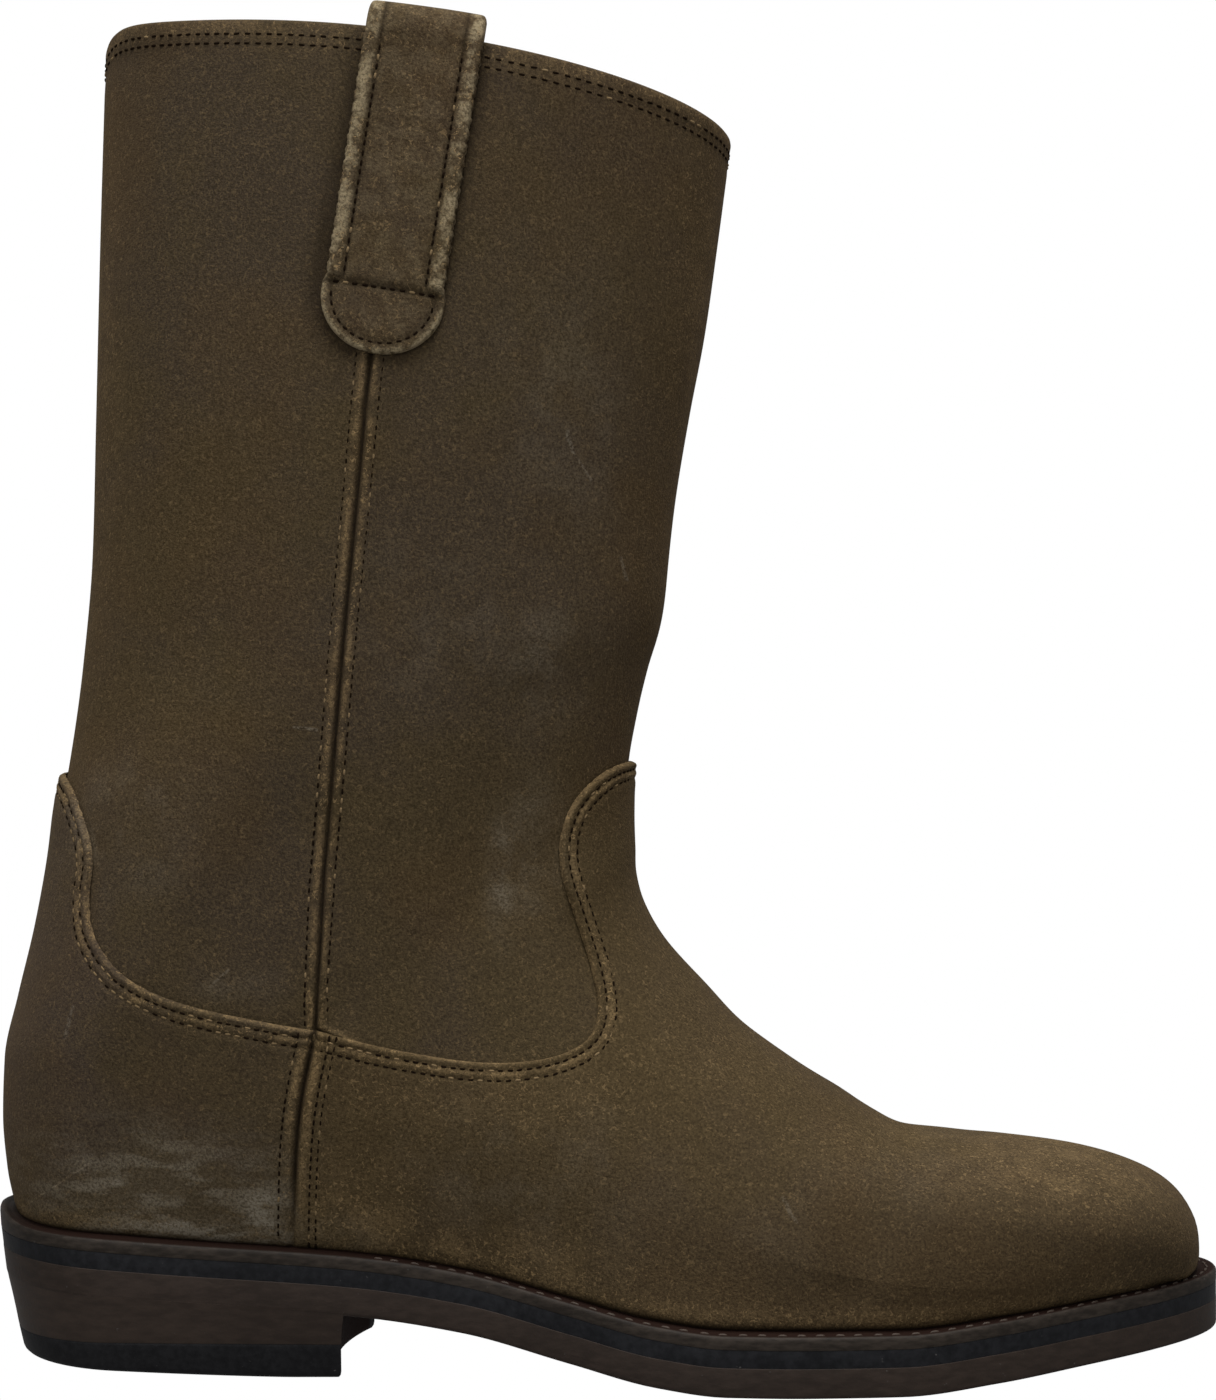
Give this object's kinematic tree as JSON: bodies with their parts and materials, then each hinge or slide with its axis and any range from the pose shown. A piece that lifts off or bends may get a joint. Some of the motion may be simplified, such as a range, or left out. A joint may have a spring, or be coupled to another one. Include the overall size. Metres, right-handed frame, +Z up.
{
  "type": "rodeo boot",
  "caption": "Pull-on western work boot in roughout leather with vamp and counter overlays, raised side seams, pull straps, stitched welt, stacked heel and rubber heel cap.",
  "frame": {"origin": "on the floor, under the middle of the boot's length and width", "axes": "+X from heel to toe, -Y to the outer (lateral) side of the right foot, +Z up the shaft"},
  "size_m": [0.2992, 0.1066, 0.3205],
  "materials": {
    "roughout_leather": "waxed nap",
    "strap_leather": "waxed nap",
    "welt_leather": "matt, burnished",
    "midsole_rubber": "matt",
    "outsole_leather": "satin edge",
    "heel_leather": "satin edge",
    "heel_rubber": "matt",
    "insole_leather": "smooth, unfinished"
  },
  "bodies": {
    "root": {"heel_cap": "heel_rubber", "heel_stack": "heel_leather", "outsole": "outsole_leather", "midsole": "midsole_rubber", "welt": "welt_leather", "insole": "insole_leather", "upper": "roughout_leather", "vamp": "roughout_leather", "counter": "roughout_leather", "pull_strap_lateral": "strap_leather", "pull_strap_medial": "strap_leather"}
  },
  "joints": []
}
